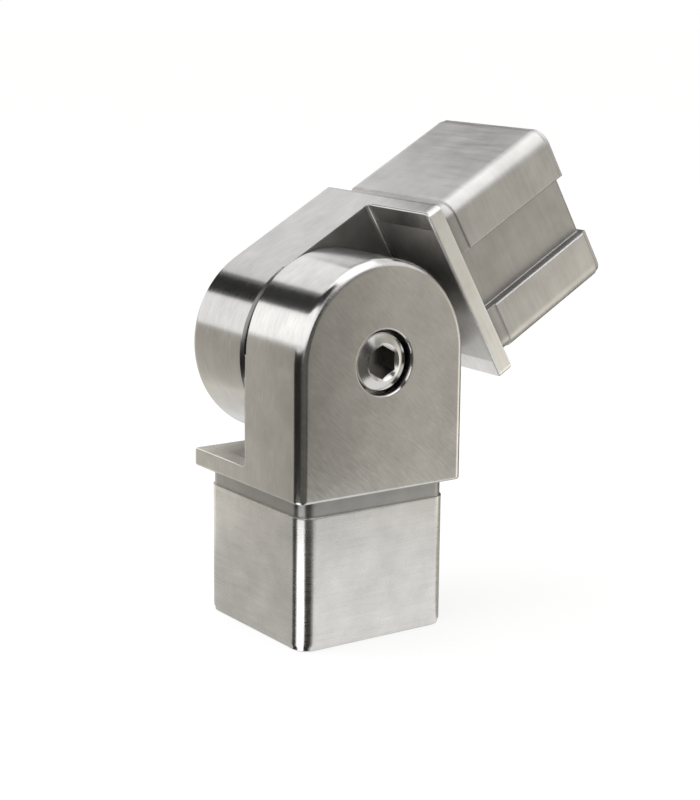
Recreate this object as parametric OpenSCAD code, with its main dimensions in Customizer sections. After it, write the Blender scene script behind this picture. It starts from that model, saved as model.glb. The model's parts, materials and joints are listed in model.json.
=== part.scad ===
// Adjustable corner connector for square handrail tube.
// Two equal castings, one turned over, lap their round-ended ears side by side.
// A screw and a sleeve nut clamp the ears and carry the hinge axis, which runs along Y.
// Origin: centre of the lower spigot's end. +Z runs up the lower tube.

/* [Tube] */
// Outside width of the square tube that slides over each spigot
tube_w = 40; // [36:1:50]
// Wall of that tube
tube_wall = 2; // [1.5:0.1:2.5]
// Clearance between the spigot and the tube's inside, on each side
tube_clear = 0.1; // [0.05:0.05:0.3]

/* [Spigot] */
// Length of the spigot, from its end to the flange
spigot_len = 31; // [24:1:45]
// Radius of the spigot's long corners
spigot_corner_r = 3.4; // [2.5:0.1:4]
// Radius of the edge around the spigot's end
end_r = 1.3; // [0.6:0.1:1.8]
// Height of the relieved neck beside the flange
neck_h = 3.6; // [2:0.2:6]
// Depth of the neck below the spigot's faces
neck_cut = 0.3; // [0.2:0.1:0.6]
// Width of the channel that clears the tube's weld seam
channel_w = 13.6; // [8:0.2:16]
// Depth of the weld channel
channel_d = 2; // [0.8:0.1:2.4]
// Small bevel along the channel's outer edges
channel_bevel = 0.35; // [0.2:0.05:0.5]
// Wall left around the hollow of the spigot
core_wall = 4.5; // [3.5:0.1:6]
// Solid metal left between the hollow and the flange's far face
core_floor = 6.6; // [5:0.2:9]
// Radius of the hollow's long corners
core_corner_r = 2; // [1:0.5:3]

/* [Flange and ear] */
// Thickness of the flange plate
flange_t = 3.6; // [3:0.2:6]
// Distance from the flange's ear side to the hinge axis
pivot_h = 22.6; // [22:0.2:28]
// How far the centre of the ear's round end lies beyond the hinge axis
tip_offset = 0.5; // [0:0.1:1]
// Radius of the rounding on the ear's outer edges and on the flange's corners beside it
edge_r = 1.9; // [1.5:0.1:3]
// Radius of the flange's two other corners
flange_corner_r = 1.2; // [0.8:0.1:3]
// Radius of the fine break around the flange's two faces
edge_break = 0.4; // [0.2:0.1:0.6]
// Radius of the fillet where the ear's lap face meets the flange
root_r = 1.2; // [0.8:0.1:1.6]
// Space between the two ears
lap_gap = 0.5; // [0.3:0.1:1]
// Bevel around the round end of the lap face
rim_bevel = 0.5; // [0.3:0.1:0.8]

/* [Hinge hardware] */
// Diameter of the sleeve nut's barrel, which the ears turn on
barrel_d = 9; // [8:0.5:10]
// Radial clearance of the barrel in the ears
barrel_clear = 0.05; // [0.02:0.01:0.1]
// Diameter of both round heads
head_d = 11.8; // [11:0.1:12.4]
// Height of the screw's head, below the mouth of its key socket
head_h = 6; // [5.4:0.2:7]
// Radius of the ball that both heads' domed faces are part of
dome_r = 14; // [8:0.5:16]
// Bevel around the rim of both heads
head_bevel = 0.25; // [0.1:0.05:0.4]
// Width across the flats of the key sockets
key_w = 6; // [5:0.5:6]
// Depth of the key sockets
key_depth = 4; // [3:0.5:4.5]
// Width of the bevel that leads into a key socket, beyond its corners
key_bevel = 0.4; // [0.2:0.1:0.5]
// Space between a head and the wall of its counterbore
counterbore_clear = 0.7; // [0.4:0.1:1.2]
// Depth of the key sockets' mouths below the ears' outer faces
head_recess = 0.5; // [0.4:0.1:1.5]
// Bevel around the mouth of each counterbore
mouth_bevel = 0.25; // [0.1:0.05:0.5]
// Diameter of the screw's thread
screw_d = 6; // [5:0.5:6]
// Length of the screw below its head
screw_len = 20; // [16:1:22]
// Radial clearance of the thread in the barrel
thread_clear = 0.05; // [0.02:0.01:0.1]
// Room left beyond the end of the screw
thread_spare = 1; // [0.5:0.5:2]
// Distance from the barrel's end to the lock washer
barrel_short = 1; // [0.5:0.1:2]
// Thickness of the lock washer
lock_t = 1.6; // [1.2:0.1:2]
// Outside diameter of the lock washer
lock_d = 11; // [10.4:0.1:11.4]
// Radial clearance of the lock washer around the screw
lock_clear = 0.3; // [0.1:0.05:0.5]
// Width of the slanting split in the lock washer
lock_split = 1; // [0.6:0.1:1.6]
// Outside diameter of the friction washer between the ears
friction_d = 34; // [24:1:36]
// Play between faces that slide on each other
slide_clear = 0.1; // [0.05:0.01:0.15]

/* [Pose] */
// Angle of the upper half from the straight line of the lower one
tilt = 60.4; // [-90:0.1:90]

/* [Hidden] */
$fn = 48;
half_w = tube_w / 2;
spigot_w = tube_w - 2 * (tube_wall + tube_clear);
core_w = spigot_w - 2 * core_wall;
neck_w = spigot_w - 2 * neck_cut;
pivot_z = spigot_len + flange_t + pivot_h;
ear_face = -half_w;
lap_face = -lap_gap / 2;
bore_d = barrel_d + 2 * barrel_clear;
counterbore_d = head_d + 2 * counterbore_clear;
seat_depth = head_recess + head_h + slide_clear + lock_t;
seat_y = half_w - seat_depth;
head_top = half_w - head_recess;
key_corner_d = key_w / cos(30);
key_mouth_r = key_corner_d / 2 + key_bevel;
friction_t = lap_gap - slide_clear;
steel = [0.71, 0.70, 0.67];
screw_steel = [0.62, 0.61, 0.59];
washer_steel = [0.50, 0.50, 0.49];
slip_grey = [0.33, 0.33, 0.33];
over = 1;

// A square outline with rounded corners, centred on the axis.
module rounded_square(w, r) {
    square([w - 2 * r, w], center = true);
    square([w, w - 2 * r], center = true);
    for (sx = [-1, 1], sy = [-1, 1])
        translate([sx * (w / 2 - r), sy * (w / 2 - r)]) circle(r);
}

// The section of a slab on z = 0: lower corners rounded by low_r, upper ones by high_r.
module slab_section(w, h, low_r, high_r) {
    translate([-w / 2, low_r]) square([w, h - low_r - high_r]);
    translate([-w / 2 + low_r, 0]) square([w - 2 * low_r, low_r + over / 10]);
    for (s = [-1, 1]) translate([s * (w / 2 - low_r), low_r]) circle(low_r);
    if (high_r > 0) {
        translate([-w / 2 + high_r, h - high_r - over / 10])
            square([w - 2 * high_r, high_r + over / 10]);
        for (s = [-1, 1]) translate([s * (w / 2 - high_r), h - high_r]) circle(high_r);
    }
}

// A square slab whose front corners (-Y) are rounded by front_r and whose back ones by
// back_r. Its edges are rounded too: one bar reaches across, one runs forward from it and
// one backward, and a post stands at each corner.
module slab(w, h, front_r, back_r, low_r, high_r) {
    front = w / 2 - front_r;
    back = w / 2 - back_r;
    rotate([90, 0, 0]) translate([0, 0, -back])
        linear_extrude(front + back) slab_section(w, h, low_r, high_r);
    for (reach = [[front, -90], [back, 90]]) rotate([90, 0, reach[1]])
        translate([0, 0, -reach[0]]) linear_extrude(2 * reach[0]) intersection() {
            slab_section(w, h, low_r, high_r);
            square([w, h]);
        }
    for (s = [-1, 1]) {
        translate([s * front, -front, 0]) slab_post(front_r, h, low_r, high_r);
        translate([s * back, back, 0]) slab_post(back_r, h, low_r, high_r);
    }
}

module slab_post(r, h, low_r, high_r) {
    rotate_extrude() intersection() {
        slab_section(2 * r, h, low_r, high_r);
        square([r, h]);
    }
}

// The casting is drawn about the hinge axis: ear in front (-Y), spigot below.

// Half of a turned disc: its outer edge is rounded and its lap edge is bevelled.
module ear_end() {
    translate([0, 0, tip_offset]) rotate([-90, 0, 0]) rotate([0, 0, 180])
        rotate_extrude(angle = 180) {
            polygon([
                [0, ear_face], [half_w - edge_r, ear_face], [half_w - edge_r, ear_face + edge_r],
                [half_w, ear_face + edge_r], [half_w, lap_face - rim_bevel],
                [half_w - rim_bevel, lap_face], [0, lap_face],
            ]);
            intersection() {
                translate([half_w - edge_r, ear_face + edge_r]) circle(edge_r);
                translate([half_w - edge_r, ear_face]) square(edge_r);
            }
        }
}

// The straight part of the ear, down to the flange's middle.
module ear_shank() {
    low = -pivot_h - flange_t / 2;
    translate([0, 0, low]) linear_extrude(tip_offset - low) intersection() {
        rounded_square(tube_w, edge_r);
        translate([-half_w, ear_face]) square([tube_w, lap_face - ear_face]);
    }
}

// The concave fillet between the lap face and the flange.
module root_fillet() {
    translate([-half_w, lap_face, -pivot_h]) rotate([90, 0, 90]) linear_extrude(tube_w)
        difference() {
            translate([-root_r, -root_r]) square(2 * root_r);
            translate([root_r, root_r]) circle(root_r);
            translate([root_r, -2 * root_r]) square(4 * root_r);
            translate([-2 * root_r, root_r]) square(4 * root_r);
        }
}

// The neck and the spigot, with the channel and the hollow cut out.
module spigot() {
    difference() {
        union() {
            slab(spigot_w, spigot_len - neck_h, spigot_corner_r, spigot_corner_r, end_r, 0);
            linear_extrude(spigot_len + flange_t / 2)
                rounded_square(neck_w, spigot_corner_r - neck_cut);
        }
        weld_channel();
        translate([0, 0, -over]) linear_extrude(spigot_len + flange_t - core_floor + over)
            rounded_square(core_w, core_corner_r);
    }
}

// The channel's section, run along the spigot up to the flange, and the rounding of its
// floor's end.
module weld_channel() {
    floor_y = spigot_w / 2 - channel_d;
    side = channel_w / 2;
    translate([0, 0, -over]) linear_extrude(spigot_len + over) polygon([
        [-side, floor_y], [side, floor_y], [side, spigot_w / 2 - channel_bevel],
        [side + channel_bevel + over, spigot_w / 2 + over],
        [-side - channel_bevel - over, spigot_w / 2 + over],
        [-side, spigot_w / 2 - channel_bevel],
    ]);
    translate([-side, floor_y, 0]) rotate([90, 0, 90]) linear_extrude(channel_w) difference() {
        translate([-end_r, -over]) square([end_r + over, end_r + over]);
        translate([-end_r, end_r]) circle(end_r);
    }
}

// The stepped hole for the barrel and the head, with its bevelled mouth.
module stepped_hole() {
    rotate([-90, 0, 0]) rotate_extrude() polygon([
        [0, ear_face - over], [counterbore_d / 2 + mouth_bevel + over, ear_face - over],
        [counterbore_d / 2, ear_face + mouth_bevel], [counterbore_d / 2, -seat_y],
        [bore_d / 2, -seat_y], [bore_d / 2, over], [0, over],
    ]);
}

module casting() {
    difference() {
        union() {
            ear_end();
            ear_shank();
            root_fillet();
            translate([0, 0, -pivot_h - flange_t])
                slab(tube_w, flange_t, edge_r, flange_corner_r, edge_break, edge_break);
            translate([0, 0, -pivot_z]) spigot();
        }
        stepped_hole();
    }
}

// The head that both the screw and the sleeve nut have. It grows along +Z from the mouth
// of its key socket. The face around the mouth is domed and its rim is bevelled.
module domed_head(h) {
    ball_z = sqrt(pow(dome_r, 2) - pow(key_mouth_r, 2));
    rim = head_d / 2;
    rim_z = ball_z - sqrt(pow(dome_r, 2) - pow(rim - head_bevel, 2));
    difference() {
        rotate_extrude() {
            translate([0, rim_z + head_bevel]) square([rim, h - rim_z - head_bevel]);
            intersection() {
                translate([0, ball_z]) circle(dome_r, $fn = 240);
                polygon([[0, 0], [rim - head_bevel, 0], [rim - head_bevel, rim_z],
                         [rim, rim_z + head_bevel], [rim, rim_z + 2 * head_bevel],
                         [0, rim_z + 2 * head_bevel]]);
            }
        }
        key_socket();
    }
}

// A six-sided key socket with a bevelled mouth.
module key_socket() {
    translate([0, 0, -over]) rotate([0, 0, 30])
        cylinder(d = key_corner_d, h = key_depth + over, $fn = 6);
    rotate_extrude() polygon([
        [0, -over], [key_mouth_r, -over], [key_mouth_r, 0], [0, key_mouth_r * tan(30)],
    ]);
}

// Places a turned part on the hinge axis: +Z becomes +Y.
module on_axis(y) {
    translate([0, y, pivot_z]) rotate([-90, 0, 0]) children();
}

module lower_casting() {
    color(steel) translate([0, 0, pivot_z]) casting();
}

module upper_casting() {
    color(steel) translate([0, 0, pivot_z]) rotate([0, tilt, 0]) rotate([180, 0, 0]) casting();
}

module pivot_screw() {
    color(screw_steel) on_axis(-head_top) {
        domed_head(head_h);
        translate([0, 0, head_h - over]) cylinder(d = screw_d, h = screw_len + over);
    }
}

module pivot_sleeve() {
    sleeve_head_h = head_top - seat_y - slide_clear;
    barrel_end = seat_y - barrel_short;
    thread_depth = screw_len + thread_spare - (head_top - head_h - barrel_end);
    color(screw_steel) translate([0, 0, pivot_z]) rotate([0, tilt, 0]) difference() {
        union() {
            translate([0, head_top, 0]) rotate([90, 0, 0]) domed_head(sleeve_head_h);
            translate([0, -barrel_end, 0]) rotate([-90, 0, 0])
                cylinder(d = barrel_d, h = barrel_end + seat_y + over);
        }
        translate([0, -barrel_end - over, 0]) rotate([-90, 0, 0])
            cylinder(d = screw_d + 2 * thread_clear, h = thread_depth + over);
    }
}

module lock_washer() {
    color(washer_steel) on_axis(-seat_y - lock_t) difference() {
        cylinder(d = lock_d, h = lock_t);
        translate([0, 0, -over]) cylinder(d = screw_d + 2 * lock_clear, h = lock_t + 2 * over);
        translate([0, 0, lock_t / 2]) rotate([30, 0, 0])
            translate([0, -lock_split / 2, -2 * lock_t]) cube([lock_d, lock_split, 4 * lock_t]);
    }
}

module friction_washer() {
    color(slip_grey) on_axis(lap_face) difference() {
        cylinder(d = friction_d, h = friction_t);
        translate([0, 0, -over]) cylinder(d = bore_d, h = friction_t + 2 * over);
    }
}

lower_casting();
upper_casting();
pivot_screw();
pivot_sleeve();
lock_washer();
friction_washer();
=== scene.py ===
# %% [markdown]
# # A hinged connector for square tube
# Two equal stainless steel castings meet at a clamped hinge, and each holds a square tube
# on its spigot. The solids come ready from the CAD frame, so this lesson is about looks:
# how brushed steel is told apart from plain grey, and how a small studio is built round it.

# %% Load the frame
import json
import math
import bpy
from mathutils import Euler, Matrix, Vector

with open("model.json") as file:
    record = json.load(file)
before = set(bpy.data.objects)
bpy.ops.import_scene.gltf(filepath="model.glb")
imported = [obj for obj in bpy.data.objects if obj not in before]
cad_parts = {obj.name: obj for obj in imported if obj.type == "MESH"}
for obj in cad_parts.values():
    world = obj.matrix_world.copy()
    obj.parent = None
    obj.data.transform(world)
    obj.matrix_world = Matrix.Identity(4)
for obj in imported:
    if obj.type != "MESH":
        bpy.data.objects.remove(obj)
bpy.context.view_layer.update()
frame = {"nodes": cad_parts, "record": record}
pieces = frame["nodes"]
print("pieces:", sorted(pieces))

# %% [markdown]
# The frame's record says where the hinge is and which way the upper spigot points. Reading
# these instead of typing them keeps the looks in step with the solids. Each casting then
# gets a frame of its own in millimetres: the pivot is its origin, its spigot points down and
# the round face of its ear looks toward -y. The upper casting is the lower one turned over.

# %% Places that the frame gives
MM = 0.001
hinge = next(j for j in frame["record"]["behaviour"]["joints"] if j["name"] == "corner_hinge")
pivot = Vector(hinge["pos_m"])
mounts = {m["name"]: m for m in frame["record"]["mounts"]}
upper_axis = Vector(mounts["upper_tube"]["axis"])
tilt = math.atan2(upper_axis.x, upper_axis.z)
LOWER_TURN = Euler((0, 0, 0))
UPPER_TURN = Euler((math.pi, tilt, 0))
print(f"pivot {pivot.z / MM:.1f} mm up, upper half tilted {math.degrees(tilt):.1f} degrees")

# %% [markdown]
# The camera stands where the photographer stood. A long lens keeps the square tube's edges
# almost parallel. Its place could be found by eye, but it was solved from the straight edges
# of the castings, so the outline of every part falls where it does in the photograph.

# %% Camera
CAMERA_MM = Vector((-218.9, -320.3, 131.0))
CAMERA_HEADING, CAMERA_PITCH, CAMERA_ROLL = -35.05, -12.34, 0.58
CAMERA_LENS_MM = 87.1

camera = bpy.data.objects.new("Camera", bpy.data.cameras.new("Camera"))
camera.data.lens = CAMERA_LENS_MM
camera.data.clip_start = 10 * MM
turn = Matrix.Rotation(math.radians(CAMERA_HEADING), 4, "Z")
turn @= Matrix.Rotation(math.radians(90 + CAMERA_PITCH), 4, "X")
turn @= Matrix.Rotation(math.radians(CAMERA_ROLL), 4, "Z")
camera.matrix_world = Matrix.Translation(CAMERA_MM * MM) @ turn
bpy.context.scene.collection.objects.link(camera)
bpy.context.scene.camera = camera
print(f"camera {CAMERA_MM.length:.0f} mm from the origin")

# %% [markdown]
# Every material below is a small graph. One helper adds a node together with its settings
# and what goes into its sockets, which is either a number or another node's output. A graph
# then reads from top to bottom like a recipe. Colours are written as sRGB hex, as a paint
# picker shows them, and one function turns them into the linear values that light needs.

# %% Helpers for materials
def add(tree, kind, sockets=None, **settings):
    made = tree.nodes.new(kind)
    for name, value in settings.items():
        setattr(made, name, value)
    for name, value in (sockets or {}).items():
        if isinstance(value, bpy.types.NodeSocket):
            tree.links.new(value, made.inputs[name])
        else:
            made.inputs[name].default_value = value
    return made


def linear(hex_colour):
    def channel(at):
        # The two branches are the sRGB standard's own curve.
        c = int(hex_colour[at:at + 2], 16) / 255
        return c / 12.92 if c <= 0.04045 else ((c + 0.055) / 1.055) ** 2.4
    return (channel(0), channel(2), channel(4), 1.0)


def new_material(name):
    material = bpy.data.materials.new(name)
    material.use_nodes = True
    material.node_tree.nodes.clear()
    return material, material.node_tree


WHITE, WARM, HALF_WARM = linear("FFFFFF"), linear("FFFBEF"), linear("FFFDF7")
print("warm light", [round(c, 3) for c in WARM[:3]])

# %% [markdown]
# Metal shows its surroundings, so the studio comes before the steel. A catalogue picture has
# a white ground with a soft shadow. Strong lamps on a grey floor could burn it out to white,
# but they would burn the steel too. Here the floor and the sky are simply white to the
# camera and to the metal, while the light that they give stays plain. The floor keeps a
# fifth of its real shading, which leaves the shadow under the connector.

# %% Floor and background
SKY_LEVEL, PAPER_KEEPS_LIT = 1.1, 0.2
FLOOR_HALF, FLOOR_DROP = 4.0, 0.2 * MM


def white_when_seen(tree, lit, keep_lit):
    path = add(tree, "ShaderNodeLightPath")
    seen = add(tree, "ShaderNodeMath", {0: path.outputs["Is Camera Ray"],
                                        1: path.outputs["Is Glossy Ray"]}, operation="MAXIMUM")
    seen = add(tree, "ShaderNodeMath", {0: seen.outputs[0],
                                        1: path.outputs["Is Transmission Ray"]}, operation="MAXIMUM")
    share = add(tree, "ShaderNodeMath", {0: seen.outputs[0], 1: 1 - keep_lit},
                operation="MULTIPLY")
    kind = "ShaderNodeBackground" if tree == world.node_tree else "ShaderNodeEmission"
    white = add(tree, kind, {"Color": WHITE, "Strength": 1.0})
    return add(tree, "ShaderNodeMixShader", {"Fac": share.outputs[0], 1: lit.outputs[0],
                                             2: white.outputs[0]})


bpy.context.scene.view_settings.view_transform = "Standard"
world = bpy.data.worlds.new("Studio")
bpy.context.scene.world = world
world.use_nodes = True
world.node_tree.nodes.clear()
fill = add(world.node_tree, "ShaderNodeBackground", {"Color": WHITE, "Strength": SKY_LEVEL})
mix = white_when_seen(world.node_tree, fill, keep_lit=0.0)
add(world.node_tree, "ShaderNodeOutputWorld", {"Surface": mix.outputs[0]})

paper, tree = new_material("White paper")
matt = add(tree, "ShaderNodeBsdfDiffuse", {"Color": linear("F4F4F2")})
mix = white_when_seen(tree, matt, keep_lit=PAPER_KEEPS_LIT)
add(tree, "ShaderNodeOutputMaterial", {"Surface": mix.outputs[0]})


def staged(name, corners, faces, material):
    mesh = bpy.data.meshes.new(name)
    mesh.from_pydata(corners, [], faces)
    mesh.materials.append(material)
    made = bpy.data.objects.new(name, mesh)
    bpy.context.scene.collection.objects.link(made)
    return made


floor = staged("Floor", [(x * FLOOR_HALF, y * FLOOR_HALF, -FLOOR_DROP)
                         for x, y in ((-1, -1), (1, -1), (1, 1), (-1, 1))], [range(4)], paper)
print("floor:", tuple(floor.dimensions))

# %% [markdown]
# A polished edge is only as bright as the card that it mirrors. Photographers of cutlery and
# taps put white and black cards round the metal, and so does this studio. The cards show in
# the metal alone: neither the camera nor the floor sees them.
#
# Guessing where a card must stand is slow. Here the ear's round rim is taken as a mirror
# ball. A point of it that leans `lean` degrees to the left of the top, and `front` degrees
# toward the viewer, mirrors one spot of the studio. A card fills the patch between two leans
# and two fronts, so it can be given by what it should do to the rim.

# %% Helpers for cards
def toward(azimuth, elevation=0):
    a, e = math.radians(azimuth), math.radians(elevation)
    return Vector((math.sin(a) * math.cos(e), math.cos(a) * math.cos(e), math.sin(e)))


def glow(name, level, tint):
    material, tree = new_material(name)
    light = add(tree, "ShaderNodeEmission", {"Strength": level, "Color": tint})
    add(tree, "ShaderNodeOutputMaterial", {"Surface": light.outputs[0]})
    return material


def ribbon(name, near_edge, far_edge, material):
    corners = near_edge + far_edge
    n = len(near_edge)
    faces = [(i, i + 1, n + i + 1, n + i) for i in range(n - 1)]
    card = staged(name, corners, faces, material)
    card.visible_camera = False
    card.visible_diffuse = False
    card.visible_shadow = False
    return card


def steps(ends, count=12):
    return [ends[0] + (ends[1] - ends[0]) * i / count for i in range(count + 1)]


viewer = (CAMERA_MM * MM - pivot).normalized()


def mirrored(lean, front):
    a, f = math.radians(lean), math.radians(front)
    normal = Vector((-math.sin(a) * math.cos(f), -math.sin(f), math.cos(a) * math.cos(f)))
    return 2 * normal.dot(viewer) * normal - viewer


print("the top of the rim mirrors", [round(c, 2) for c in mirrored(0, 0)])

# %% [markdown]
# The rim in the photograph runs from a light top, over one black band, to a bright side. So
# a top card and a left soft box stand with a dark gap between them. On the blended edge the
# gap is nearer the top and a little wider, so its two sides are functions of `front`. Two
# half-bright slips soften the gap's upper side, as a card does that stands out of focus.

# %% Cards for the round rim
RIM_AWAY, RIM_STEPS = 0.9, 24
BLEND_FROM, BLEND_TO = 17, 37
# The lean of the gap's two sides: on the rim, and at the front of the blended edge.
GAP_TOP, GAP_SIDE = (46, 35), (58, 52)


def across_blend(front, on_rim, at_front):
    share = min(max((front - BLEND_FROM) / (BLEND_TO - BLEND_FROM), 0), 1)
    return on_rim + (at_front - on_rim) * share


def gap_top(front):
    return across_blend(front, *GAP_TOP)


def gap_side(front):
    return across_blend(front, *GAP_SIDE)


RIM_CARDS = [
    # name, lean from, lean to, fronts, level, distance in front of the others
    ("Left soft box", gap_side, 76.5, (-20, 64), 1.5, 0),
    ("Lower edge of the soft box", 76.5, 79, (-20, 64), 0.95, 0),
    ("Dark gap", gap_top, gap_side, (-20, 80), 0.03, 0.02),
    ("Shaded edge of the gap", lambda f: gap_top(f) - 3.5, gap_top, (-20, 18), 0.22, 0.02),
    ("Soft edge of the gap", lambda f: gap_top(f) - 6, gap_top, (-20, 18), 0.6, 0.01),
    ("Top card", 12, gap_top, (-20, 18), 1.15, 0),
    ("Far top card", -12, 12, (-20, 18), 0.95, 0),
    ("Top soft box", 5, gap_top, (24, 66), 1.9, 0),
    ("Card over the camera", -10, gap_top, (66, 82), 1.0, 0),
    ("Photographer in black", gap_side, 92, (65, 86), 0.02, 0.05),
]


def rim_edge(lean, fronts, away):
    return [pivot + mirrored(lean(f) if callable(lean) else lean, f) * away
            for f in steps(fronts, RIM_STEPS)]


for name, low, high, fronts, level, nearer in RIM_CARDS:
    away = RIM_AWAY - nearer
    ribbon(name, rim_edge(low, fronts, away), rim_edge(high, fronts, away),
           glow(name, level, WHITE))
print("rim cards:", len(RIM_CARDS))

# %% [markdown]
# Flat faces are simpler. Seen from the camera, each upright face mirrors the floor and the
# low surroundings in one direction, so a ring of paper stands round the connector and its
# brightness changes with the direction. Directions are read from the near corner of the
# lower spigot, because its rounded edge sweeps through half of them: that is how it gets a
# white line with a dark one on each side. The ring could be many cards. One ribbon with a
# brightness stored at each point gives the soft passages between them for free.

# %% Paper ring for the flat faces
NEAR_CORNER = Vector((-16, -16, 0)) * MM
RING_CENTRE, RING_RADIUS, RING_POINTS = Vector((15, 0, 0)) * MM, 105 * MM, 240
# By direction in degrees: brightness, what the foot adds to it, and height in mm.
RING_LEVELS = [(-180, 0.14), (-150, 0.1), (-120, 0.03), (-44, 0.02), (-40, 0.52), (-30, 0.56),
               (-22, 0.66), (-10, 1.0), (15, 0.95), (30, 0.09), (74, 0.09), (86, 0.45),
               (110, 0.41), (118, 0.47), (126, 0.54), (134, 0.6), (146, 0.35), (150, 0.28),
               (158, 0.06), (166, 0.1), (180, 0.14)]
RING_FOOT = [(-180, 0), (96, 0), (104, 1.6), (112, 1.3), (122, 0), (180, 0)]
RING_TOPS = [(-180, 66), (-10, 66), (20, 80), (38, 110), (46, 165), (92, 165), (100, 110),
             (150, 110), (158, 66), (180, 66)]


def read_off(table, at):
    for (a, low), (b, high) in zip(table, table[1:]):
        if a <= at <= b:
            return low + (high - low) * (at - a) / (b - a)


foot = [RING_CENTRE + toward(a) * RING_RADIUS for a in steps((-180, 180), RING_POINTS)]
seen_at = [math.degrees(math.atan2((p - NEAR_CORNER).x, (p - NEAR_CORNER).y)) for p in foot]
top = [p + Vector((0, 0, read_off(RING_TOPS, a) * MM)) for p, a in zip(foot, seen_at)]

ring_paper, tree = new_material("Ring paper")
stored = add(tree, "ShaderNodeAttribute", attribute_name="level")
light = add(tree, "ShaderNodeEmission", {"Color": WARM, "Strength": stored.outputs["Fac"]})
add(tree, "ShaderNodeOutputMaterial", {"Surface": light.outputs[0]})

ring = ribbon("Paper ring", foot, top, ring_paper)
level_at = ring.data.attributes.new("level", "FLOAT", "POINT")
foot_levels = [read_off(RING_LEVELS, a) + read_off(RING_FOOT, a) for a in seen_at]
top_levels = [read_off(RING_LEVELS, a) for a in seen_at]
for point, value in enumerate(foot_levels + top_levels):
    level_at.data[point].value = value
print("ring points:", len(foot))

# %% [markdown]
# Inside the ring, papers on the floor do the same for the lowest 20 mm of the spigot. They
# are fans drawn from the near corner, and one from the far corner. The light paper begins
# only 80 mm out: there it shows in the lower rim of the rear ear and not in the spigot. A
# short bright strip stands up at the end of the bright fan to carry the white line to the
# top of the spigot. One dim card stands far behind for the top face of the upper spigot.

# %% Papers on the floor and two upright cards
FAR_CORNER = Vector((16, -16, 0)) * MM
PAPER_LIFT = Vector((0, 0, 0.1 * MM))
BRIGHT_FAN, BRIGHT_LEVEL = (-131, -80), 2.0
STRIP_AWAY, STRIP_HIGH = 62 * MM, 13 * MM
DIM_LEVEL, DIM_BACK, DIM_SIDES, DIM_HEIGHTS = 0.14, 165, (58, 125), (185, 270)
FANS = [
    # name, corner that it is drawn from, directions, nearest and farthest mm, level, tint
    ("Dusky paper", NEAR_CORNER, (166, 180), (1, 150), 0.35, WARM),
    ("Dark paper", NEAR_CORNER, (-180, -134), (1, 150), 0.02, WARM),
    ("Bright paper", NEAR_CORNER, BRIGHT_FAN, (1, 64), BRIGHT_LEVEL, WHITE),
    ("Dark paper behind", NEAR_CORNER, (-72, -43), (1, 150), 0.04, WARM),
    ("Shaded paper", NEAR_CORNER, (-43, -24), (1, 150), 0.58, HALF_WARM),
    ("Shaded paper at the foot", NEAR_CORNER, (-24, 8), (1, 80), 0.58, HALF_WARM),
    ("Light paper under the ear", NEAR_CORNER, (-24, 8), (80, 150), 0.98, HALF_WARM),
    ("Grey paper beside", FAR_CORNER, (55, 118), (1, 110), 0.45, WARM),
]
for name, corner, directions, reach, level, tint in FANS:
    near_edge, far_edge = [
        [corner + PAPER_LIFT + toward(a) * away * MM for a in steps(directions)]
        for away in reach]
    ribbon(name, near_edge, far_edge, glow(name, level, tint))

strip_foot = [NEAR_CORNER + toward(a) * STRIP_AWAY for a in steps(BRIGHT_FAN)]
strip_top = [p + Vector((0, 0, STRIP_HIGH)) for p in strip_foot]
ribbon("Bright strip", strip_foot, strip_top, glow("Bright strip", BRIGHT_LEVEL, WHITE))
card_foot, card_top = [
    [Vector((side, DIM_BACK, height)) * MM for side in DIM_SIDES] for height in DIM_HEIGHTS]
ribbon("Dim card behind", card_foot, card_top, glow("Dim card behind", DIM_LEVEL, WHITE))
print("fans:", len(FANS))

# %% [markdown]
# The cards light nothing but reflections. One large area lamp over the left shoulder gives
# the soft, even light of a table-top picture, and with it the shadow on the paper.

# %% Lamp
LAMP_AZIMUTH, LAMP_ELEVATION, LAMP_AWAY = -60, 70, 0.7
LAMP_SIZE, LAMP_WATTS = 0.6, 3.0

soft_light = bpy.data.lights.new("Overhead lamp", "AREA")
soft_light.size = LAMP_SIZE
soft_light.energy = LAMP_WATTS
lamp = bpy.data.objects.new("Overhead lamp", soft_light)
lamp.location = pivot + toward(LAMP_AZIMUTH, LAMP_ELEVATION) * LAMP_AWAY
lamp.rotation_euler = toward(LAMP_AZIMUTH, LAMP_ELEVATION).to_track_quat("Z", "Y").to_euler()
lamp.visible_glossy = False
bpy.context.scene.collection.objects.link(lamp)
print("lamp", [round(c, 2) for c in lamp.location])

# %% [markdown]
# The castings are stainless steel, cast in a shell mould and then brushed on abrasive belts.
# A belt leaves fine parallel scratches, and these are what tells brushed steel from chrome:
# a reflection is pulled out wide across the scratches and stays sharp along them. The real
# piece was brushed face by face, so each zone has its own direction. On the rims the lines
# run round the ear, on its round face they fall to the right, and on the spigot they are
# level.
#
# One picture wrapped round the part could show this, but it would need unwrapping and could
# not be changed. Here each zone is a box in the casting's own millimetres, with a span of
# directions that its faces look in. The sizes are the CAD model's. A face's direction has
# three parts between -1 and 1, and one part of 0.7 or more means that it looks mostly there.

# %% Zones of a casting
# The CAD model's sizes in mm. The channel is cut into the spigot's +y side.
FLANGE_THICK, NECK_LONG = 3.6, 3.6
CHANNEL_WIDE, CHANNEL_FLOOR, CHANNEL_BLEND, CHANNEL_FROM = 13.6, 15.9, 0.4, 8
FLANGE_FAR = (mounts["lower_tube_end"]["pos_m"][2] - pivot.z) / MM
FLANGE_NEAR = FLANGE_FAR + FLANGE_THICK
NECK_END = FLANGE_FAR - NECK_LONG
CHANNEL_HALF = CHANNEL_WIDE / 2
# The pocket is the room beside the ear, and the lap face is the ear's flat inner side.
POCKET_FROM, POCKET_HALF, LAP_REACH = 0.5, 16, 1
SLACK, FLANGE_SLACK = 0.15, 0.1
FACING, SQUARELY = 0.7, 0.8
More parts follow.
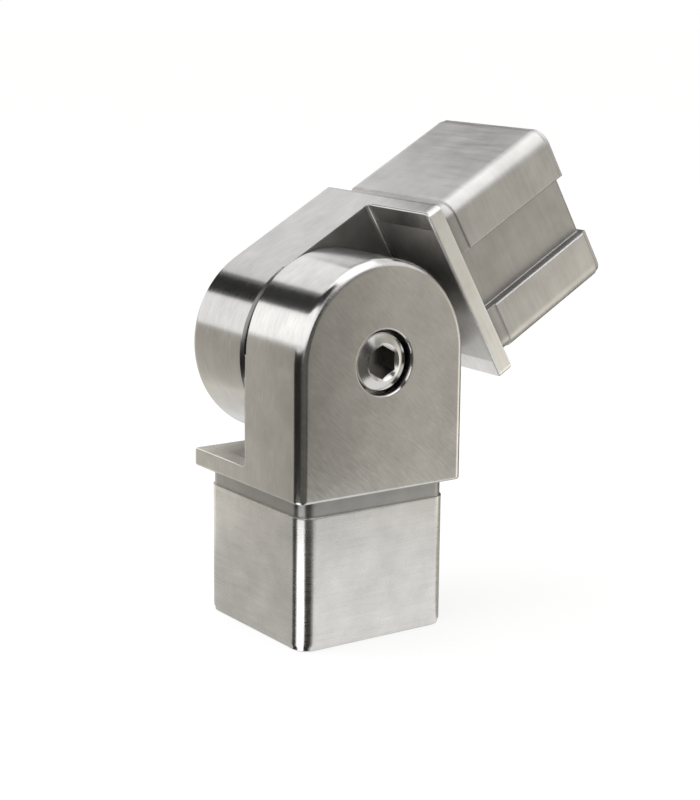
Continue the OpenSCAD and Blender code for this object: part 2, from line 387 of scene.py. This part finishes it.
# Ends of a span that reaches past every place, every size or every direction.
ENDLESS, NO_SIZE, PAST = 999, -1, 2


def zone(tree, *spans):
    mask = 1.0
    for value, low, high in spans:
        above = add(tree, "ShaderNodeMath", {0: value, 1: low}, operation="GREATER_THAN")
        below = add(tree, "ShaderNodeMath", {0: value, 1: high}, operation="LESS_THAN")
        within = add(tree, "ShaderNodeMath", {0: above.outputs[0], 1: below.outputs[0]},
                     operation="MULTIPLY")
        joined = add(tree, "ShaderNodeMath", {0: within.outputs[0], 1: mask},
                     operation="MULTIPLY")
        mask = joined.outputs[0]
    return mask


def casting_zones(tree, at, facing):
    x, y, z = at.outputs
    to_x, to_y, to_z = facing.outputs
    size_x, size_to_x, size_to_y = [
        add(tree, "ShaderNodeMath", {0: value}, operation="ABSOLUTE").outputs[0]
        for value in (x, to_x, to_y)]
    below_flange = (z, -ENDLESS, FLANGE_FAR)
    above_seat = (z, FLANGE_FAR, ENDLESS)
    in_flange = (z, FLANGE_FAR, FLANGE_NEAR + FLANGE_SLACK)
    return {
        "spigot": zone(tree, below_flange),
        "neck": zone(tree, (z, NECK_END, FLANGE_FAR)),
        "channel": zone(tree, below_flange, (size_x, NO_SIZE, CHANNEL_HALF + CHANNEL_BLEND),
                        (y, CHANNEL_FLOOR - SLACK, CHANNEL_FLOOR + SLACK)),
        "channel_wall": zone(tree, below_flange, (size_to_x, FACING, PAST),
                             (y, CHANNEL_FROM, ENDLESS),
                             (size_x, CHANNEL_HALF - SLACK, CHANNEL_HALF + SLACK)),
        "round_face": zone(tree, above_seat, (to_y, -PAST, -SQUARELY)),
        "pocket": zone(tree, above_seat, (y, POCKET_FROM, ENDLESS),
                       (size_x, NO_SIZE, POCKET_HALF)),
        "lap_face": zone(tree, above_seat, (to_y, FACING, PAST), (y, -LAP_REACH, LAP_REACH)),
        "flange_face": zone(tree, in_flange, (to_z, FACING, PAST)),
        "flange_edge": zone(tree, in_flange, (y, 0, ENDLESS), (size_to_y, FACING, PAST)),
    }


print(f"flange from {FLANGE_NEAR:.1f} to {FLANGE_FAR:.1f} mm below the pivot")

# %% [markdown]
# A value that differs by zone is laid on like coats of paint: a ground for the whole
# casting, then each zone's own value over it. A Mix node has its own sockets for numbers,
# vectors and colours, and they can only be told apart by their places.

# %% Coats
# The first of a Mix node's two value sockets, and its output, for numbers and for vectors.
MIX_PLACES = {"FLOAT": (2, 0), "VECTOR": (4, 1)}


def coats(tree, kind, ground, layers):
    first, out = MIX_PLACES[kind]
    for mask, value in layers:
        over = add(tree, "ShaderNodeMix", {0: mask, first: ground, first + 1: value},
                   data_type=kind)
        ground = over.outputs[out]
    return ground


print("a coat of numbers goes in at socket", MIX_PLACES["FLOAT"][0])

# %% [markdown]
# The grains of a 180 grit belt are 0.08 mm across and its scratches are no wider, less than
# half a pixel here, so they are drawn five to nine times as coarse. One noise, squeezed
# across the lines and stretched along them, moves the tone, the roughness and the height
# together, as one real scratch does. The wide blur across the lines can't come from such a
# coarse pattern: the shader's own anisotropy gives it, along a tangent that is turned the
# same way.

# %% Brushed lines
# Each line's size in mm, along x, y and z. The round face's are turned by GRAIN_FALL first.
GRAIN_FALL = math.radians(-42)
RIM_LINE = Vector((4.0, 0.5, 4.0))
FACE_LINE = Vector((2.9, 1.0, 0.45))
SPIGOT_LINE = Vector((11.0, 11.0, 0.7))


def per_mm(size):
    return tuple(1 / length for length in size)


def brushed_lines(tree, here, zones, turned):
    sloped = add(tree, "ShaderNodeVectorRotate", {"Vector": here, "Angle": GRAIN_FALL},
                 rotation_type="Y_AXIS").outputs[0]
    on_rim, on_face, on_spigot = [
        add(tree, "ShaderNodeVectorMath", {0: place, 1: per_mm(size)},
            operation="MULTIPLY").outputs[0]
        for place, size in ((here, RIM_LINE), (sloped, FACE_LINE), (here, SPIGOT_LINE))]
    to_casting = turned.to_matrix()
    across_rim = to_casting @ Vector((0, 1, 0))
    across_face = to_casting @ Vector((-math.sin(GRAIN_FALL), 0, math.cos(GRAIN_FALL)))
    across_spigot = to_casting @ Vector((0, 0, 1))

    flow = coats(tree, "VECTOR", on_rim, [(zones["round_face"], on_face),
                                          (zones["spigot"], on_spigot),
                                          (zones["flange_edge"], on_spigot)])
    across = coats(tree, "VECTOR", across_rim, [(zones["round_face"], across_face),
                                                (zones["spigot"], across_spigot),
                                                (zones["flange_edge"], across_spigot)])
    lines = add(tree, "ShaderNodeTexNoise", {"Vector": flow, "Scale": 1.0, "Detail": 2.0})
    tangent = add(tree, "ShaderNodeVectorTransform", {"Vector": across}, vector_type="VECTOR",
                  convert_from="OBJECT", convert_to="WORLD")
    return lines.outputs["Fac"], tangent.outputs[0]


print(f"a line on the rim is {RIM_LINE.x} mm long and {RIM_LINE.y} mm wide")

# %% [markdown]
# Now the casting's whole finish. Stainless steel is a slightly warm grey, and CCCAC8 is its
# usual colour in a bright studio. The spigot came off a finer belt than the rest, and its
# colour is painted brighter as well, a painted light. Its neck and channel are inside
# corners that a belt can't reach, so they keep a rougher skin from the mould, and their
# colour is painted darker, a painted shade of the corners, the neck most darkly by the
# flange. The pocket between the ears, the ear's lap face and the channel's wall are painted
# dark too, a painted shade between the parts. The flange's inner face and its edge on the
# pocket's side are painted brighter, a painted sheen. Broad clouds of tone, 6 mm across,
# stand for the belt's uneven pressure, and the corners get a small rounding in the shading
# alone, as hand brushing leaves on every edge. Tones are shares of the base colour.
#
# The upper half was brushed duller than the lower one: its spigot has a wide soft shine and
# no sharp line. Its colour is also painted darker all over, a painted shade, and its neck is
# painted darker by the flange and lighter toward the spigot. So one recipe serves both, and
# a short table holds what differs.

# %% Brushed stainless steel
CLOUD, EDGE_ROUNDING, LINE_DEPTH = 6.25, 0.5, 0.0013
BEVEL_SAMPLES = 8
# Painted shade in the pocket and on the lap face between the ears, and a painted sheen on the
# flange's inner face.
PAINTED_SHADE_AND_SHEEN_SHARES = {"pocket": 0.45, "lap_face": 0.5, "flange_face": 1.3}
# Painted shade in the channel and on its wall, and a painted sheen on the flange's edge on the
# pocket's side.
PAINTED_SHADE_AND_SHEEN_TONES = {"channel": 0.78, "channel_wall": 0.35, "flange_edge": 1.65}
LINE_DRIFT, CLOUD_DRIFT = 0.05, 0.08
# Nearly all of a noise lies between these two values.
NOISE_LOW, NOISE_HIGH = 0.3, 0.7
BELT_ROUGH, ROUGH_DRIFT, BELT_PULL = 0.19, 0.25, 0.7
OWN_ROUGH = {"neck": 0.38, "flange_edge": 0.42, "pocket": 0.36, "lap_face": 0.36}
# Painted light and shade: the upper casting's ground is painted darker, each spigot is painted
# brighter than its ground, and each neck is painted darker by the flange.
LOWER_LOOK = {"ground": 1.0, "spigot": 1.12, "spigot_rough": 0.28, "spigot_pull": 0.7,
              "neck_shade_near": 0.62, "neck_shade_end": 0.66}
UPPER_LOOK = {"ground": 0.8, "spigot": 0.95, "spigot_rough": 0.42, "spigot_pull": 0.25,
              "neck_shade_near": 0.52, "neck_shade_end": 0.92}


def brushed_casting_with_painted_light_and_shade(name, turned, look):
    material, tree = new_material(name)
    spot = add(tree, "ShaderNodeTexCoord")
    here = add(tree, "ShaderNodeMapping", {
        "Vector": spot.outputs["Object"], "Location": pivot, "Rotation": turned,
        "Scale": (MM, MM, MM)}, vector_type="TEXTURE")
    looking = add(tree, "ShaderNodeMapping", {
        "Vector": spot.outputs["Normal"], "Rotation": turned}, vector_type="TEXTURE")
    at = add(tree, "ShaderNodeSeparateXYZ", {0: here.outputs[0]})
    facing = add(tree, "ShaderNodeSeparateXYZ", {0: looking.outputs[0]})
    zones = casting_zones(tree, at, facing)
    lines, tangent = brushed_lines(tree, here.outputs[0], zones, turned)
    cloud = add(tree, "ShaderNodeTexNoise", {
        "Vector": here.outputs[0], "Scale": 1 / CLOUD, "Detail": 3.0, "Roughness": 0.6})

    # The neck is painted darker near the flange, a painted shade under it.
    neck_painted_shade = add(tree, "ShaderNodeMapRange", {
        "Value": at.outputs[2], "From Min": FLANGE_FAR, "From Max": NECK_END,
        "To Min": look["neck_shade_near"], "To Max": look["neck_shade_end"]})
    # Painted light and shade by zone: darker neck, pocket, lap face and channel, brighter spigot and
    # flange faces.
    painted_tones = [(zones["spigot"], look["spigot"]), (zones["neck"], neck_painted_shade.outputs[0])]
    painted_tones += [(zones[key], share * look["ground"]) for key, share in PAINTED_SHADE_AND_SHEEN_SHARES.items()]
    painted_tones += [(zones[key], value) for key, value in PAINTED_SHADE_AND_SHEEN_TONES.items()]
    tone = coats(tree, "FLOAT", look["ground"], painted_tones)
    for pattern, spread in ((lines, LINE_DRIFT), (cloud.outputs["Fac"], CLOUD_DRIFT)):
        drift = add(tree, "ShaderNodeMapRange", {
            "Value": pattern, "From Min": NOISE_LOW, "From Max": NOISE_HIGH,
            "To Min": 1 - spread, "To Max": 1 + spread})
        tone = add(tree, "ShaderNodeMath", {0: tone, 1: drift.outputs[0]},
                   operation="MULTIPLY").outputs[0]
    colour = add(tree, "ShaderNodeVectorMath", {0: linear("CCCAC8")[:3], "Scale": tone},
                 operation="SCALE")

    roughs = [(zones["spigot"], look["spigot_rough"])]
    roughs += [(zones[key], value) for key, value in OWN_ROUGH.items()]
    polish = coats(tree, "FLOAT", BELT_ROUGH, roughs)
    wear = add(tree, "ShaderNodeMapRange", {
        "Value": lines, "To Min": 1 - ROUGH_DRIFT, "To Max": 1 + ROUGH_DRIFT})
    rough = add(tree, "ShaderNodeMath", {0: polish, 1: wear.outputs[0]}, operation="MULTIPLY")
    pull = coats(tree, "FLOAT", BELT_PULL, [(zones["spigot"], look["spigot_pull"])])
    edges = add(tree, "ShaderNodeBevel", {"Radius": EDGE_ROUNDING * MM}, samples=BEVEL_SAMPLES)
    height = add(tree, "ShaderNodeBump", {
        "Height": lines, "Strength": 1.0, "Distance": LINE_DEPTH * MM,
        "Normal": edges.outputs[0]})
    steel = add(tree, "ShaderNodeBsdfPrincipled", {
        "Metallic": 1.0, "Base Color": colour.outputs[0], "Roughness": rough.outputs[0],
        "Anisotropic": pull, "Normal": height.outputs[0], "Tangent": tangent})
    add(tree, "ShaderNodeOutputMaterial", {"Surface": steel.outputs[0]})
    return material


lower_steel = brushed_casting_with_painted_light_and_shade("Belt-brushed stainless steel, lower", LOWER_TURN, LOWER_LOOK)
upper_steel = brushed_casting_with_painted_light_and_shade("Belt-brushed stainless steel, upper", UPPER_TURN, UPPER_LOOK)
print("nodes in a casting's graph:", len(lower_steel.node_tree.nodes))

# %% [markdown]
# The screw and the sleeve nut are turned from stainless bar, so their marks are rings round
# the hinge's axis, and the face is nearly a mirror. Inside the pressed hexagon socket the
# metal is duller, and its colour is painted darker, a painted shade of the deep socket. The
# distance from the axis drives both: it is the pattern's only coordinate, and with the depth
# it finds the socket. Real turning marks are 0.05 mm apart. They are drawn 0.2 mm apart, or
# they would not show.

# %% Turned stainless steel
TURNING_MARK, MARK_DEPTH = 0.2, 0.001
TURNED_ROUGH, SOCKET_ROUGH = 0.19, 0.3
SOCKET_HALF, SOCKET_MOUTH, SOCKET_DEEP = 3.6, 19.3, 18.9


def turned_screw(name):
    material, tree = new_material(name)
    spot = add(tree, "ShaderNodeTexCoord")
    here = add(tree, "ShaderNodeMapping", {
        "Vector": spot.outputs["Object"], "Location": pivot, "Scale": (MM, MM, MM)},
        vector_type="TEXTURE")
    at = add(tree, "ShaderNodeSeparateXYZ", {0: here.outputs[0]})
    flat = add(tree, "ShaderNodeVectorMath", {0: here.outputs[0], 1: (1, 0, 1)},
               operation="MULTIPLY")
    from_axis = add(tree, "ShaderNodeVectorMath", {0: flat.outputs[0]}, operation="LENGTH")
    along_axis = add(tree, "ShaderNodeMath", {0: at.outputs[1]}, operation="ABSOLUTE")
    sunk = add(tree, "ShaderNodeMapRange", {
        "Value": along_axis.outputs[0], "From Min": SOCKET_MOUTH, "From Max": SOCKET_DEEP})
    central = add(tree, "ShaderNodeMath", {0: from_axis.outputs["Value"], 1: SOCKET_HALF},
                  operation="LESS_THAN")
    socket = add(tree, "ShaderNodeMath", {0: sunk.outputs[0], 1: central.outputs[0]},
                 operation="MULTIPLY")
    rings = add(tree, "ShaderNodeTexNoise", {
        "W": from_axis.outputs["Value"], "Scale": 1 / TURNING_MARK, "Detail": 3.0},
        noise_dimensions="1D")
    # The socket's colour is painted darker, a painted shade inside the recess.
    colour = add(tree, "ShaderNodeMix", {
        0: socket.outputs[0], 6: linear("CFCDCB"), 7: linear("827F7B")}, data_type="RGBA")
    rough = add(tree, "ShaderNodeMix", {
        0: socket.outputs[0], 2: TURNED_ROUGH, 3: SOCKET_ROUGH}, data_type="FLOAT")
    height = add(tree, "ShaderNodeBump", {
        "Height": rings.outputs["Fac"], "Strength": 1.0, "Distance": MARK_DEPTH * MM})
    steel = add(tree, "ShaderNodeBsdfPrincipled", {
        "Metallic": 1.0, "Base Color": colour.outputs[2], "Roughness": rough.outputs[0],
        "Normal": height.outputs[0]})
    add(tree, "ShaderNodeOutputMaterial", {"Surface": steel.outputs[0]})
    return material


screw_steel = turned_screw("Turned stainless steel, screw")
sleeve_steel = turned_screw("Turned stainless steel, sleeve nut")
print("turned:", screw_steel.name, "and", sleeve_steel.name)

# %% [markdown]
# The lock washer under the head is a cut ring of rolled spring steel. Hardening leaves a
# thin oxide film, so it is darker than the stainless and faintly clouded. The clouds are
# 1.7 mm across, about the width of the washer's band.

# %% Rolled spring steel
OXIDE_CLOUD, FILM_THIN_ROUGH, FILM_THICK_ROUGH = 1.7, 0.28, 0.42


def rolled_spring(name):
    material, tree = new_material(name)
    spot = add(tree, "ShaderNodeTexCoord")
    film = add(tree, "ShaderNodeTexNoise", {
        "Vector": spot.outputs["Object"], "Scale": 1 / (OXIDE_CLOUD * MM), "Detail": 3.0})
    colour = add(tree, "ShaderNodeMix", {
        0: film.outputs["Fac"], 6: linear("77787A"), 7: linear("9A9A99")}, data_type="RGBA")
    rough = add(tree, "ShaderNodeMapRange", {
        "Value": film.outputs["Fac"], "To Min": FILM_THIN_ROUGH, "To Max": FILM_THICK_ROUGH})
    steel = add(tree, "ShaderNodeBsdfPrincipled", {
        "Metallic": 1.0, "Base Color": colour.outputs[2], "Roughness": rough.outputs[0]})
    add(tree, "ShaderNodeOutputMaterial", {"Surface": steel.outputs[0]})
    return material


washer_steel = rolled_spring("Rolled spring steel")
print("rolled:", washer_steel.name)

# %% [markdown]
# The friction washer between the ears is punched from black nylon sheet. Nylon is no metal:
# its shine is weak and broad, over a surface with a slight grain from the rolls.

# %% Punched black nylon
NYLON_GRAIN, NYLON_GRAIN_DEPTH, NYLON_ROUGH = 0.4, 0.004, 0.46


def punched_nylon(name):
    material, tree = new_material(name)
    spot = add(tree, "ShaderNodeTexCoord")
    grain = add(tree, "ShaderNodeTexNoise", {
        "Vector": spot.outputs["Object"], "Scale": 1 / (NYLON_GRAIN * MM), "Detail": 2.0})
    colour = add(tree, "ShaderNodeMix", {
        0: grain.outputs["Fac"], 6: linear("1C1C1D"), 7: linear("262627")}, data_type="RGBA")
    height = add(tree, "ShaderNodeBump", {
        "Height": grain.outputs["Fac"], "Strength": 1.0, "Distance": NYLON_GRAIN_DEPTH * MM})
    nylon = add(tree, "ShaderNodeBsdfPrincipled", {
        "Roughness": NYLON_ROUGH, "Base Color": colour.outputs[2],
        "Normal": height.outputs[0]})
    add(tree, "ShaderNodeOutputMaterial", {"Surface": nylon.outputs[0]})
    return material


nylon = punched_nylon("Punched black nylon")
print("punched:", nylon.name)

# %% [markdown]
# Each piece gets its finish. The castings keep the exact faces of the CAD model: all their
# blends, the channel and the counterbore are real geometry there, so nothing is added or
# replaced here.

# %% Finishes on the pieces
finishes = {
    "lower_casting": lower_steel,
    "upper_casting": upper_steel,
    "pivot_screw": screw_steel,
    "pivot_sleeve": sleeve_steel,
    "lock_washer": washer_steel,
    "friction_washer": nylon,
}
for name, material in finishes.items():
    pieces[name].data.materials.clear()
    pieces[name].data.materials.append(material)
print("finished:", len(finishes), "of", len(pieces))
